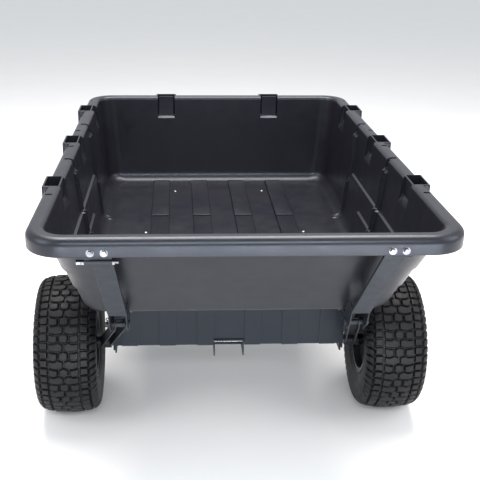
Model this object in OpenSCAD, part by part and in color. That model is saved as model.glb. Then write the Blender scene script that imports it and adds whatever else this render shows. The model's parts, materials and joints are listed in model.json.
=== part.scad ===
// Tow behind cart: a two-wheeled poly dump cart.
// The tub tilts back on pins above the legs, and the drawbar runs forward to a hitch clevis.
// Frame: +X right, +Y towards the tow end, +Z up. The origin is on the ground, at the centre of the
// whole cart's plan outline. Modules draw about the axle line and cart() moves them to that origin.

/* [Tub] */
// Outer width of the rim at the rear
rim_rear_w = 1100; // [1060:5:1140]
// Outer width of the rim at the front
rim_front_w = 1052; // [1030:2:1060]
// Distance from the axle back to the rear face of the rim
tub_back = 700; // [690:5:720]
// Distance from the axle forward to the front face of the rim
tub_front = 956; // [940:4:980]
// Height of the rim's top
rim_z = 874; // [860:2:890]
// Height of the tub's inside floor
floor_z = 517; // [510:1:524]
// Width of the rolled rim
rim_w = 45; // [40:1:50]
// Depth of the rim's skirt
skirt_h = 48; // [40:1:56]
// Wall thickness of the moulding
wall_t = 5; // [4:0.5:6]
// Half width of the inside floor
floor_half = 455; // [448:1:460]
// Number of raised ribs on the floor
rib_count = 4; // [2:1:4]
// Pitch of the floor ribs
rib_pitch = 155.5; // [150:0.5:160]
// Width of a floor rib
rib_w = 64; // [50:1:70]
// Height of a floor rib
rib_h = 8; // [5:1:10]

/* [Stake pockets] */
// Inside length of a side pocket, for a 38 x 89 mm stake
pocket_l = 91; // [90:1:94]
// Inside width of a pocket
pocket_w = 40; // [39:0.5:41]
// Depth of a pocket below the rim's top
pocket_d = 86; // [70:1:90]
// Distance between side pockets
pocket_pitch = 470; // [440:5:480]

/* [Wheels] */
// Outer radius of the tyre
tyre_r = 230; // [225:1:233]
// Overall width of the tyre
tyre_w = 204; // [190:2:210]
// Distance from the centre line to each wheel's mid-plane
wheel_x = 531; // [530:1:540]
// Radius of the axle
axle_r = 12.7; // [12.5:0.1:12.7]
// Radial running clearance of bearings and pins
run_gap = 0.05; // [0.02:0.01:0.1]

/* [Chassis] */
// Outer width of the drawbar channel
bar_w = 102; // [96:2:104]
// Height of the drawbar channel
bar_h = 60; // [56:1:64]
// Thickness of the drawbar channel
bar_t = 4; // [3:0.5:5]
// Distance from the axle forward to the tip of the hitch clevis
hitch_front = 1530; // [1500:10:1600]
// Radius of the hitch pin hole
hitch_r = 7; // [6.5:0.1:8]
// Gap between the two arms of the hitch clevis
hitch_gap = 34; // [30:1:36]
// Distance from the axle back to the tilt axis
pivot_back = 385; // [380:1:390]
// Height of the tilt axis
pivot_z = 490; // [488:1:491]
// Distance from the centre line to each tilt pin
pivot_x = 340; // [338:1:342]
// Radius of the tilt pins
pin_r = 8; // [7:0.5:8]
// Angle by which the latch stands open at rest
latch_open = 35; // [30:1:38]

/* [Hidden] */

e = 0.01;
black_poly = [0.11, 0.115, 0.125];
grey_steel = [0.24, 0.26, 0.28];
dark_steel = [0.17, 0.18, 0.2];
zinc = [0.72, 0.73, 0.74];
rubber = [0.07, 0.07, 0.075];

// Plan: the rim bolts' heads are the rearmost point: the origin is half way from them to the hitch tip
head_h = 6;
washer_t = 1.6;
rear_reach = tub_back + washer_t + head_h;
axle_y = (rear_reach - hitch_front) / 2;
axle_z = tyre_r;

// Tub outline
rim_rear = rim_rear_w / 2;
rim_front = rim_front_w / 2;
floor_rear_y = -352;
floor_front_y = tub_front - rim_w - 5;
floor_fillet = 40;
rim_inner_rear = rim_rear - rim_w;
rim_inner_front = rim_front - rim_w;
wall_h = rim_z - floor_z;
rear_slope = atan((tub_back - rim_w + floor_rear_y) / wall_h);
front_slope = atan(5 / wall_h);
side_slope_rear = atan((rim_inner_rear - floor_half) / wall_h);
side_slope_front = atan((rim_inner_front - floor_half) / wall_h);
corner_n = 8;
edge_n = 5;
under_z = floor_z - wall_t - 1;
skirt_z = rim_z - skirt_h;
lip_r = 14;

// Wheel wells: two steps in each side wall, from the front divider back
well_z = [705, 628];
well_in = [12, 22];
well_front = [430, 235];

// Dividers and pockets
divider_y = [-6, 443];
divider_gap = 20;
divider_ridge = 9;
divider_top = rim_z - 36;
pocket_y = [-235, -235 + pocket_pitch, -235 + 2 * pocket_pitch];
pocket_rear_x = 507;
pocket_taper = (rim_rear - rim_front) / (tub_back + tub_front) / 2;
pocket_t = 6;
front_pocket_x = 212;
front_pocket_l = 70;
front_pocket_y0 = 922;
strip_t = 4;

// Tub frame
frame_top = under_z;
frame_h = 36;
frame_z = frame_top - frame_h;
rail_half = 23;
rail_t = 3;
rail_rear = -318;
rail_front = 790;
cross_y = [-180, 287, 760];
cross_w = 50;
bolt_r = 4;
floor_bolt_at = [[pivot_x, -225], [284, 287], [177, 760]];

// Straps
strap_w = 52;
strap_t = 3;
strap_top = [-tub_back + wall_t, skirt_z - 4];
strap_end = [-455, 551];
strap_top_x = 357;
strap_len = norm(strap_end - strap_top);
strap_tilt = atan2(strap_end[1] - strap_top[1], strap_end[0] - strap_top[0]);
rim_bolt_x = [349.5, 382.5];
rim_bolt_z = rim_z - 35;
rail_bolt_y = [-292, -262];
rail_bolt_z = 490;
bracket_at = [-694.4, 813];
bracket_x = [-398, -330];

// Legs
leg_w = 32;
leg_t = 3.5;
leg_d = 32;
leg_foot_x = 417;
leg_run = [leg_foot_x - pivot_x, pivot_back, axle_z - pivot_z];
leg_len = norm(leg_run);
leg_pitch = asin(-leg_run[2] / leg_len);
leg_yaw = atan2(leg_run[0], leg_run[1]);
boss_r = 19;
boss_x0 = 396;
boss_x1 = 441;

// Cross panel
panel_half = 389;
panel_t = 3;
panel_y = -20;
panel_z0 = 226;
panel_top = frame_z - 8;
bead_x = [80, 206, 333];
bead_w = 54;
bead_d = 4;
pad_t = frame_z - panel_top - 0.3;

// Drawbar
bar_top = 246;
bar_z0 = bar_top - bar_h;
bar_rear = -26;
bar_front = hitch_front - 90;
bar_bolt_z = 212;
brace_bolt_y = [645, 685];
brace_t = 5;
brace_h = 34;
post_bolt_y = [742, 774];

// Front post and latch
post_y0 = 726;
post_y1 = 790;
post_t = 4;
post_top = frame_z - 9;
latch_at = [847, 420];
strike_at = [812, 470];
strike_r = 6;
catch_r = norm(strike_at - latch_at) + strike_r + 2.5;
catch_t = 10;
catch_tip = 132;
latch_t = 8;
latch_pin_r = 5;
lever_len = 210;
lever_rise = 22;
lever_half = 11;

// Hitch
clevis_t = 8;
clevis_w = 60;
clevis_rear = 1350;
clevis_top = bar_top - bar_t;
hitch_y = hitch_front - 25;
hitch_bolt_y = [1382, 1418];

// Wheels
hub_l = 100;
hub_r = 30;
bearing_r = 26;
bearing_w = 15;
rim_seat_r = 101.6;
rim_flange_r = 114;
rim_half = 89;
valve_r = 90;

module cart() {
    translate([0, axle_y, 0]) children();
}
module both_sides() {
    children();
    mirror([1, 0, 0]) children();
}

// ---------- Outlines ----------
function arc(c, r, a0, a1, n) = [
    for (i = [0:n])
        let (a = a0 + (a1 - a0) * i / n)
        c + r * [cos(a), sin(a)]
];
function stadium(len, r, n) = concat(arc([len, 0], r, -90, 90, n), arc([0, 0], r, 90, 270, n));
function unit(v) = v / norm(v);
function left_of(v) = [-v[1], v[0]];

// Offsets an open path sideways by d, with mitred corners
function side_path(p, d) = [
    for (i = [0:len(p) - 1])
        let (a = unit(p[max(i, 1)] - p[max(i, 1) - 1]),
             b = unit(p[min(i + 1, len(p) - 1)] - p[min(i, len(p) - 2)]),
             na = left_of(a),
             nb = left_of(b))
        p[i] + (na + nb) * d / (1 + na * nb)
];
function reversed(p) = [for (i = [len(p) - 1:-1:0]) p[i]];
function band(p, t) = concat(p, reversed(side_path(p, t)));

// A closed horizontal ring with round corners: w and r are [rear, front], y is [rear, front]
function ring(w, y, r, z) = [
    for (p = concat(
        arc([w[1] - r[1], y[1] - r[1]], r[1], 0, 90, corner_n),
        arc([r[1] - w[1], y[1] - r[1]], r[1], 90, 180, corner_n),
        arc([r[0] - w[0], y[0] + r[0]], r[0], 180, 270, corner_n),
        arc([w[0] - r[0], y[0] + r[0]], r[0], 270, 360, corner_n)))
    [p[0], p[1], z]
];

// A solid through a stack of rings with equal numbers of points
module loft(rings) {
    n = len(rings[0]);
    m = len(rings);
    sides = [
        for (k = [0:m - 2])
            for (i = [0:n - 1])
                let (a = k * n + i, b = k * n + (i + 1) % n)
                each [[a, a + n, b + n], [a, b + n, b]]
    ];
    polyhedron(
        points = [for (r = rings) each r],
        faces = concat([[for (i = [0:n - 1]) i]], sides, [[for (i = [n - 1:-1:0]) (m - 1) * n + i]]),
        convexity = 8);
}

// How far a filleted wall stands inside its foot at height h: s is its slope from the vertical
function wall_inset(h, r, s) = h < r * (1 - sin(s))
    ? r * tan((90 - s) / 2) - sqrt(max(0, r * r - (r - h) * (r - h)))
    : -h * tan(s);

// The tub's wall at height z: grow moves it outwards, and the floor down by the same amount
function tub_ring(z, grow, drop, r_corner) =
    let (z0 = floor_z - drop, h = z - z0, r = floor_fillet + grow)
    let (w0 = floor_half - wall_inset(h, r, side_slope_rear) + foot(grow, drop, side_slope_rear),
         w1 = floor_half - wall_inset(h, r, side_slope_front) + foot(grow, drop, side_slope_front),
         y0 = floor_rear_y + wall_inset(h, r, rear_slope) - foot(grow, drop, rear_slope),
         y1 = floor_front_y - wall_inset(h, r, front_slope) + foot(grow, drop, front_slope))
    ring([w0, w1], [y0, y1], [r_corner, r_corner], z);
function foot(grow, drop, s) = grow / cos(s) - drop * tan(s);

// Heights that follow a fillet of radius r above z0
function fillet_levels(z0, r) = [for (i = [0:edge_n]) z0 + r * (1 - cos(90 * i / edge_n))];

// Half width of the inside wall at height z and distance y from the axle
function wall_x(z, y) =
    let (f = (y + tub_back) / (tub_back + tub_front))
    floor_half + (z - floor_z) * (tan(side_slope_rear) * (1 - f) + tan(side_slope_front) * f);

// ---------- Tub ----------
module rim_block() {
    r = [100, 92];
    loft([
        for (s = concat([[skirt_z, 0]], [for (i = [0:edge_n])
            [rim_z - lip_r + lip_r * sin(90 * i / edge_n), lip_r * (1 - cos(90 * i / edge_n))]]))
        ring([rim_rear - s[1], rim_front - s[1]], [s[1] - tub_back, tub_front - s[1]],
             [r[0] - s[1], r[1] - s[1]], s[0])
    ]);
}
module skirt_void() {
    r = [100 - wall_t, 92 - wall_t];
    loft([for (z = [skirt_z - 1, rim_z - wall_t - 3])
        ring([rim_rear - wall_t, rim_front - wall_t], [wall_t - tub_back, tub_front - wall_t], r, z)]);
}
module tub_outside() {
    loft([for (z = concat(fillet_levels(under_z, floor_fillet + wall_t), [rim_z - lip_r]))
        tub_ring(z, wall_t, wall_t + 1, 64)]);
}
module tub_inside() {
    r = 12;
    top = [for (i = [0:edge_n]) [rim_z - r + r * sin(90 * i / edge_n), r * (1 - cos(90 * i / edge_n))]];
    loft(concat(
        [for (z = fillet_levels(floor_z, floor_fillet)) tub_ring(z, 0, 0, 58)],
        [for (t = top) tub_ring(t[0], t[1], 0, 58 + t[1])],
        [tub_ring(rim_z + 2, r + 0.5, 0, 58 + r)]));
}

// A bar against the right wall between two distances y, its section given by wall_section
module wall_bar(y0, y1, section) {
    a = section_at(section, y0);
    b = section_at(section, y1);
    loft_y(a, b, y0, y1);
}
// Points [height, inwards] become [x, z] at distance y, closed behind the wall
function section_at(s, y) = concat(
    [for (p = s) [wall_x(p[0], y) - p[1], p[0]]],
    [[wall_x(floor_z, y) + 60, s[len(s) - 1][0]], [wall_x(s[0][0], y) + 60, s[0][0]]]);
module loft_y(a, b, y0, y1) {
    n = len(a);
    polyhedron(
        points = concat([for (p = a) [p[0], y0, p[1]]], [for (p = b) [p[0], y1, p[1]]]),
        faces = concat(
            [[for (i = [n - 1:-1:0]) i]],
            [for (i = [0:n - 1]) each [[i, (i + 1) % n, n + (i + 1) % n], [i, n + (i + 1) % n, n + i]]],
            [[for (i = [0:n - 1]) n + i]]));
}
module wheel_wells() {
    for (k = [0:1])
        wall_bar(-690, well_front[k],
            [[well_z[k], well_in[k] - 4], [well_z[k] - 4, well_in[k]], [floor_z - 6, well_in[k]]]);
}
module divider_ridges() {
    deep = 8;
    section = [
        [divider_top, deep - 4],
        [divider_top - 6, deep],
        [well_z[0] + 6, deep],
        [well_z[0], deep + well_in[0]],
        [well_z[1] + 6, deep + well_in[0]],
        [well_z[1], deep + well_in[1]],
        [floor_z - 4, deep + well_in[1]]
    ];
    for (y = divider_y)
        for (s = [-1, 1])
            let (mid = y + s * (divider_gap + divider_ridge) / 2)
            translate([0, mid + divider_ridge / 2, 0]) rotate([90, 0, 0])
                linear_extrude(divider_ridge) polygon(section_at(section, mid));
}
module floor_ribs() {
    for (i = [0:rib_count - 1])
        translate([(i - (rib_count - 1) / 2) * rib_pitch - rib_w / 2, floor_rear_y + 12, floor_z - 2])
            cube([rib_w, floor_front_y - floor_rear_y - 34, rib_h + 2]);
}
module rib_undersides() {
    w = rib_w - 2 * wall_t;
    for (i = [0:rib_count - 1])
        translate([(i - (rib_count - 1) / 2) * rib_pitch - w / 2, floor_rear_y - 60, under_z - 1])
            cube([w, floor_front_y - 24 - floor_rear_y + 60, wall_t + 1]);
}
// Inner side of a side pocket at distance y: it follows half of the rim's taper
function pocket_x(y) = pocket_rear_x - (y - pocket_y[0]) * pocket_taper;

module pocket_boxes() {
    root = 40;
    for (y = pocket_y)
        translate([pocket_x(y) - root, y - pocket_l / 2 - pocket_t, rim_z - pocket_d - pocket_t])
            cube([pocket_w + pocket_t + root, pocket_l + 2 * pocket_t, pocket_d + pocket_t]);
    translate([front_pocket_x - front_pocket_l / 2 - pocket_t, front_pocket_y0 - root,
               rim_z - pocket_d - pocket_t])
        cube([front_pocket_l + 2 * pocket_t, pocket_w + pocket_t + root, pocket_d + pocket_t]);
}
// The pockets, their drain holes, and the recess in the wall beside each one
module pocket_holes() {
    recess = 66;
    front_recess = 88;
    recess_reach = 60;
    drain_r = 6;
    for (y = pocket_y) {
        translate([pocket_x(y), y - pocket_l / 2, rim_z - pocket_d])
            cube([pocket_w, pocket_l, pocket_d + 1]);
        translate([pocket_x(y) + pocket_w / 2, y, rim_z - pocket_d - pocket_t - 1])
            cylinder(r = drain_r, h = pocket_t + 2, $fn = 24);
        translate([pocket_x(y) - strip_t - recess_reach, y - pocket_l / 2 + 3, rim_z - recess])
            cube([recess_reach, pocket_l - 6, recess + 1]);
    }
    translate([front_pocket_x - front_pocket_l / 2, front_pocket_y0, rim_z - pocket_d])
        cube([front_pocket_l, pocket_w, pocket_d + 1]);
    translate([front_pocket_x - front_pocket_l / 2, front_pocket_y0 - strip_t - recess_reach,
               rim_z - front_recess])
        cube([front_pocket_l, recess_reach, front_recess + 1]);
    translate([front_pocket_x, front_pocket_y0 + pocket_w / 2, rim_z - pocket_d - pocket_t - 1])
        cylinder(r = drain_r, h = pocket_t + 2, $fn = 24);
}
module rim_slots() {
    slot_at = [[524, -356], [517, 144], [517, 352], [516, 846]];
    for (p = slot_at)
        translate([p[0], p[1] - 5, rim_z - 20])
            rotate([0, 0, 90]) linear_extrude(30) polygon(stadium(10, 6, 8));
    for (y = divider_y)
        translate([wall_x(rim_z, y) - 20, y - 4, rim_z - 32]) cube([50, 8, 40]);
}
module tub_bolt_holes() {
    for (p = floor_bolt_at)
        translate([p[0], p[1], under_z - 1]) cylinder(r = bolt_r + 0.3, h = 20, $fn = 24);
    for (x = rim_bolt_x)
        translate([x, -tub_back - 1, rim_bolt_z]) rotate([-90, 0, 0])
            cylinder(r = bolt_r + 0.3, h = wall_t + 2, $fn = 24);
}
module tub_shell() {
    color(black_poly) cart() difference() {
        union() {
            difference() {
                union() {
                    difference() {
                        rim_block();
                        skirt_void();
                    }
                    tub_outside();
                    both_sides() pocket_boxes();
                }
                difference() {
                    tub_inside();
                    both_sides() {
                        wheel_wells();
                        divider_ridges();
                    }
                }
            }
            floor_ribs();
        }
        rib_undersides();
        both_sides() {
            pocket_holes();
            rim_slots();
            tub_bolt_holes();
        }
    }
}

// ---------- Straps ----------
// Drawn for the right side
module strap() {
    dx = strap_top_x - pivot_x;
    w = strap_w / 2;
    lip = 10;
    difference() {
        union() {
            translate([0, strap_top[0], strap_top[1]]) rotate([strap_tilt, 0, 0]) {
                linear_extrude(strap_t)
                    polygon([for (p = [[dx - w, 0], [dx + w, 0], [w, strap_len], [-w, strap_len]])
                        p + [pivot_x, 0]]);
                for (s = [-w, w - strap_t])
                    linear_extrude(lip)
                        polygon([for (p = [[dx + s, 14], [dx + s + strap_t, 14], [s + strap_t, strap_len],
                            [s, strap_len]]) p + [pivot_x, 0]]);
            }
            translate([strap_top_x - w, strap_top[0], strap_top[1] - 1])
                cube([rim_bolt_x[1] + 18 - strap_top_x + w, strap_t, rim_bolt_z + 18 - strap_top[1]]);
            for (x = [pivot_x - w, pivot_x + w - strap_t])
                translate([x, 0, 0]) rotate([90, 0, 90]) linear_extrude(strap_t) polygon(ear_outline());
        }
        translate([pivot_x - 60, -pivot_back, pivot_z]) rotate([0, 90, 0])
            cylinder(r = pin_r + run_gap, h = 120, $fn = 48);
        for (y = rail_bolt_y)
            translate([pivot_x - 60, y, rail_bolt_z]) rotate([0, 90, 0])
                cylinder(r = bolt_r + 0.3, h = 120, $fn = 24);
        for (x = rim_bolt_x)
            translate([x, strap_top[0] - 1, rim_bolt_z]) rotate([-90, 0, 0])
                cylinder(r = bolt_r + 0.3, h = strap_t + 2, $fn = 24);
    }
}
// Side view of the strap's ears: from the web round the tilt pin to the rail, clear of the tub's corner
function ear_outline() = concat(
    [strap_end, [-436, 505]],
    arc([-pivot_back, pivot_z], 20, 205, 262, 4),
    [[-366, 472], [-354, 488], [-328, 472], [-300, 473], [-246, 480],
     [-246, 504], [-252, 508.5], [-336, 508.5], [-352, 510], [-366, 517],
     [-376, 527], [-394, 549], [-412, 570], [-436, 578], strap_end + [-10, 11.3]]);
module right_strap() { color(grey_steel) cart() strap(); }
module left_strap() { color(grey_steel) cart() mirror([1, 0, 0]) strap(); }

// ---------- Fasteners ----------
// A hex bolt along +Z with its head below z = 0
module hex_bolt(r, len, head = head_h) {
    translate([0, 0, -head]) cylinder(r = r * 1.88, h = head, $fn = 6);
    cylinder(r = r, h = len, $fn = 32);
}
module plain_washer(r, t = washer_t) {
    difference() {
        cylinder(r = r * 2.45, h = t, $fn = 40);
        translate([0, 0, -1]) cylinder(r = r + 0.3, h = t + 2, $fn = 32);
    }
}
module hex_nut(r, h = 6.5) {
    difference() {
        cylinder(r = r * 1.88, h = h, $fn = 6);
        translate([0, 0, -1]) cylinder(r = r, h = h + 2, $fn = 32);
    }
}
module strap_bolts() {
    color(zinc) cart() both_sides() for (x = rim_bolt_x)
        translate([x, -tub_back - washer_t, rim_bolt_z]) rotate([-90, 0, 0]) {
            hex_bolt(bolt_r, wall_t + strap_t + washer_t + 10);
            cylinder(r = bolt_r * 2.45, h = washer_t, $fn = 40);
        }
}
module strap_nuts() {
    color(zinc) cart() both_sides() for (x = rim_bolt_x)
        translate([x, strap_top[0] + strap_t, rim_bolt_z]) rotate([-90, 0, 0]) hex_nut(bolt_r);
}

// Cross tube and bolt under the left end of the rear skirt
module rim_bracket_tube() {
    color(dark_steel) cart() translate([bracket_x[0], bracket_at[0], bracket_at[1]]) rotate([0, 90, 0])
        difference() {
            cylinder(r = 5.5, h = bracket_x[1] - bracket_x[0], $fn = 32);
            translate([0, 0, -1]) cylinder(r = 4, h = bracket_x[1] - bracket_x[0] + 2, $fn = 32);
        }
}
module rim_bracket_bolt() {
    color(zinc) cart() translate([-417, bracket_at[0], bracket_at[1]]) rotate([0, 90, 0]) {
        translate([0, 0, 12]) cylinder(r = 3.9, h = 90, $fn = 32);
        cylinder(r = 7.4, h = 12, $fn = 6);
    }
}
module rim_bracket_nuts() {
    h = 6;
    color(zinc) cart() for (x = [bracket_x[0] - h, bracket_x[1]])
        translate([x, bracket_at[0], bracket_at[1]]) rotate([0, 90, 0]) hex_nut(3.95, h);
}

// ---------- Tub frame ----------
// An inverted channel along Y
module channel_y(w, h, t, len) {
    difference() {
        cube([w, len, h]);
        translate([t, -1, -1]) cube([w - 2 * t, len + 2, h - t + 1]);
    }
}
module rail() {
    difference() {
        translate([pivot_x - rail_half, rail_rear, frame_z])
            channel_y(2 * rail_half, frame_h, rail_t, rail_front - rail_rear);
        for (y = rail_bolt_y)
            translate([pivot_x - 60, y, rail_bolt_z]) rotate([0, 90, 0])
                cylinder(r = bolt_r + 0.3, h = 120, $fn = 24);
        translate([floor_bolt_at[0][0], floor_bolt_at[0][1], frame_z])
            cylinder(r = bolt_r + 0.3, h = frame_h + 1, $fn = 24);
    }
}
module right_rail() { color(dark_steel) cart() rail(); }
module left_rail() { color(dark_steel) cart() mirror([1, 0, 0]) rail(); }
module cross_channel(k) {
    half = pivot_x - rail_half;
    color(dark_steel) cart() difference() {
        translate([-half, cross_y[k] + cross_w / 2, frame_z]) rotate([0, 0, -90])
            channel_y(cross_w, frame_h, rail_t, 2 * half);
        if (k > 0)
            both_sides() translate([floor_bolt_at[k][0], cross_y[k], frame_z])
                cylinder(r = bolt_r + 0.3, h = frame_h + 1, $fn = 24);
    }
}
module rear_cross_channel() { cross_channel(0); }
module mid_cross_channel() { cross_channel(1); }
module front_cross_channel() { cross_channel(2); }
module floor_bolts() {
    head_r = 8;
    head = 3.5;
    ball_r = (head_r * head_r + head * head) / (2 * head);
    color(zinc) cart() both_sides() for (p = floor_bolt_at) {
        translate([p[0], p[1], floor_z]) intersection() {
            translate([0, 0, head - ball_r]) sphere(r = ball_r, $fn = 48);
            cylinder(r = head_r, h = head + 1, $fn = 48);
        }
        translate([p[0], p[1], frame_top - 22])
            cylinder(r = bolt_r, h = floor_z - frame_top + 22.5, $fn = 32);
    }
}
module floor_nuts() {
    color(zinc) cart() both_sides() for (p = floor_bolt_at)
        translate([p[0], p[1], frame_top - rail_t]) rotate([180, 0, 0]) {
            plain_washer(bolt_r);
            translate([0, 0, washer_t]) hex_nut(bolt_r);
        }
}
module rail_bolts() {
    color(zinc) cart() both_sides() for (y = rail_bolt_y)
        translate([pivot_x - strap_w / 2, y, rail_bolt_z]) rotate([0, 90, 0])
            hex_bolt(bolt_r, strap_w + 12, 5.5);
}
module rail_nuts() {
    color(zinc) cart() both_sides() for (y = rail_bolt_y)
        translate([pivot_x + strap_w / 2, y, rail_bolt_z]) rotate([0, 90, 0]) hex_nut(bolt_r);
}
// Round bar between two lugs on the front cross channel, which the latch hooks over
module strike_bar() {
    lug_y = cross_y[2] + cross_w / 2;
    color(dark_steel) cart() {
        translate([-32, strike_at[0], strike_at[1]]) rotate([0, 90, 0])
            cylinder(r = strike_r, h = 64, $fn = 40);
        for (x = [-32, 26])
            translate([x, 0, 0]) rotate([90, 0, 90]) linear_extrude(6)
                polygon(concat(
                    [[lug_y, frame_z + 25], [lug_y, frame_z + 3]],
                    arc(strike_at, 10, -120, 60, 12)));
    }
}

// ---------- Tilt pivots ----------
module pivot_pin() {
    x0 = pivot_x - strap_w / 2;
    difference() {
        translate([x0, -pivot_back, pivot_z]) rotate([0, 90, 0]) {
            cylinder(r = pin_r, h = strap_w + 14, $fn = 48);
            translate([0, 0, -5]) cylinder(r = pin_r + 4, h = 5, $fn = 48);
        }
        translate([x0 + strap_w + 8, -pivot_back, pivot_z - 20]) cylinder(r = 1.8, h = 40, $fn = 20);
    }
}
module right_pivot_pin() { color(zinc) cart() pivot_pin(); }
module left_pivot_pin() { color(zinc) cart() mirror([1, 0, 0]) pivot_pin(); }
// A cotter through a hole along Z: straight legs and an eye above
module cotter(r, len) {
    translate([0, 0, -len / 2]) cylinder(r = r, h = len, $fn = 20);
    translate([0, 0, len / 2 + 2.2 * r]) rotate([90, 0, 0])
        rotate_extrude($fn = 32) translate([2.4 * r, 0]) circle(r = 0.75 * r, $fn = 16);
}
module pivot_clips() {
    color(zinc) cart() both_sides()
        translate([pivot_x + strap_w / 2 + 8, -pivot_back, pivot_z]) cotter(1.6, 26);
}
// Spacing washers between the ears and the leg
module pivot_washers() {
    t = 1.6;
    color(zinc) cart() both_sides() for (s = [-1, 1])
        translate([pivot_x + s * (rail_half - 0.3 - t / 2) - t / 2, -pivot_back, pivot_z])
            rotate([0, 90, 0])
            difference() {
                cylinder(r = 11, h = t, $fn = 40);
                translate([0, 0, -1]) cylinder(r = pin_r + run_gap, h = t + 2, $fn = 48);
            }
}

// ---------- Legs, axle and cross panel ----------
// A channel from the tilt pin down and out to the axle, open towards the rear
module leg() {
    difference() {
        union() {
            translate([pivot_x, -pivot_back, pivot_z]) rotate([-leg_pitch, 0, -leg_yaw]) {
                for (x = [-leg_w / 2, leg_w / 2 - leg_t])
                    translate([x, 0, 0]) rotate([90, 0, 90]) linear_extrude(leg_t)
                        polygon(stadium(leg_len, leg_d / 2, 12));
                translate([-leg_w / 2, 12, leg_d / 2 - leg_t]) cube([leg_w, leg_len - 8, leg_t]);
            }
            translate([boss_x0, 0, axle_z]) rotate([0, 90, 0])
                cylinder(r = boss_r, h = boss_x1 - boss_x0, $fn = 64);
        }
        translate([pivot_x - 60, -pivot_back, pivot_z]) rotate([0, 90, 0])
            cylinder(r = pin_r + run_gap, h = 120, $fn = 48);
        translate([boss_x0 - 20, 0, axle_z]) rotate([0, 90, 0])
            cylinder(r = axle_r + run_gap, h = 90, $fn = 64);
    }
}
module right_leg() { color(dark_steel) cart() leg(); }
module left_leg() { color(dark_steel) cart() mirror([1, 0, 0]) leg(); }
module axle() {
    end = wheel_x + hub_l / 2 + 18;
    color(zinc) cart() difference() {
        translate([-end, 0, axle_z]) rotate([0, 90, 0]) cylinder(r = axle_r, h = 2 * end, $fn = 64);
        both_sides() translate([end - 8, 0, axle_z - 20]) cylinder(r = 1.8, h = 40, $fn = 20);
    }
}
// Pressed sheet between the legs: beads on its face, and flanges along the top, bottom and ends
module cross_panel() {
    back = 46;
    window_half = bar_w / 2 + 1.5;
    lip_d = 5.5;
    color(grey_steel) cart() difference() {
        union() {
            translate([-panel_half, panel_y, panel_z0])
                cube([2 * panel_half, panel_t, panel_top - panel_z0]);
            for (x = bead_x)
                both_sides() translate([x - bead_w / 2, panel_y - bead_d, panel_z0])
                    cube([bead_w, bead_d + 1, panel_top - 60 - panel_z0]);
            translate([-panel_half, panel_y, panel_top - panel_t])
                cube([2 * panel_half, back, panel_t]);
            translate([-panel_half, panel_y, panel_z0]) cube([2 * panel_half, lip_d, panel_t]);
            both_sides() translate([panel_half - 5, panel_y, axle_z - 22])
                cube([5, back, panel_top - axle_z + 22]);
        }
        for (x = bead_x)
            both_sides() translate([x - bead_w / 2 + panel_t, panel_y - bead_d + panel_t, panel_z0 - 1])
                cube([bead_w - 2 * panel_t, bead_d + e, panel_top - 60 - panel_t - panel_z0 + 1]);
        translate([-window_half, panel_y - 1, panel_z0 + panel_t])
            cube([2 * window_half, panel_t + 2, bar_top + 2 - panel_z0 - panel_t]);
        both_sides() translate([bar_w / 2 - bar_t - 1.5, panel_y + panel_t, panel_z0 - 1])
            cube([bar_t + 3, lip_d, panel_t + 2]);
        translate([-panel_half - 1, 0, axle_z]) rotate([0, 90, 0])
            cylinder(r = axle_r + run_gap, h = 2 * panel_half + 2, $fn = 64);
    }
}
// Rubber pads that the tub's rails come down on
module rest_pads() {
    color(rubber) cart() both_sides()
        translate([pivot_x - rail_half, panel_y + 4, panel_top]) cube([2 * rail_half, 38, pad_t]);
}

// ---------- Drawbar ----------
module drawbar() {
    color(grey_steel) cart() difference() {
        translate([-bar_w / 2, bar_rear, bar_z0]) channel_y(bar_w, bar_h, bar_t, bar_front - bar_rear);
        translate([-bar_w, 0, axle_z]) rotate([0, 90, 0])
            cylinder(r = axle_r + run_gap, h = 2 * bar_w, $fn = 64);
        for (y = concat(brace_bolt_y, post_bolt_y))
            translate([-bar_w, y, bar_bolt_z]) rotate([0, 90, 0])
                cylinder(r = bolt_r + 0.3, h = 2 * bar_w, $fn = 24);
        for (y = hitch_bolt_y)
            translate([0, y, bar_top - 10]) cylinder(r = 5.3, h = 20, $fn = 24);
        translate([-bar_w, bar_rear - 1, panel_z0 - 0.3])
            cube([2 * bar_w, panel_y + panel_t + 0.3 - bar_rear + 1, panel_t + 0.6]);
    }
}

// Flat bar on edge, from the axle beside the panel's end flange to the side of the drawbar
module brace() {
    x0 = panel_half - 5 - 0.3;
    x1 = bar_w / 2;
    path = [[x0, -14], [x0, 34], [x1 + brace_t, 608], [x1 + brace_t, 712]];
    difference() {
        translate([0, 0, bar_bolt_z - brace_h / 2]) linear_extrude(brace_h + 18) polygon(band(path, brace_t));
        translate([0, 40, bar_bolt_z + brace_h / 2]) cube([500, 800, 40]);
        translate([x0 - 40, 0, axle_z]) rotate([0, 90, 0])
            cylinder(r = axle_r + run_gap, h = 80, $fn = 64);
        for (y = brace_bolt_y)
            translate([0, y, bar_bolt_z]) rotate([0, 90, 0]) cylinder(r = bolt_r + 0.3, h = 90, $fn = 24);
    }
}
module right_brace() { color(dark_steel) cart() brace(); }
module left_brace() { color(dark_steel) cart() mirror([1, 0, 0]) brace(); }
module brace_bolts() {
    color(zinc) cart() for (y = brace_bolt_y)
        translate([-bar_w / 2 - brace_t, y, bar_bolt_z]) rotate([0, 90, 0])
            hex_bolt(bolt_r, bar_w + 2 * brace_t + 12);
}
module brace_nuts() {
    color(zinc) cart() for (y = brace_bolt_y)
        translate([bar_w / 2 + brace_t, y, bar_bolt_z]) rotate([0, 90, 0]) hex_nut(bolt_r);
}

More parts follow.
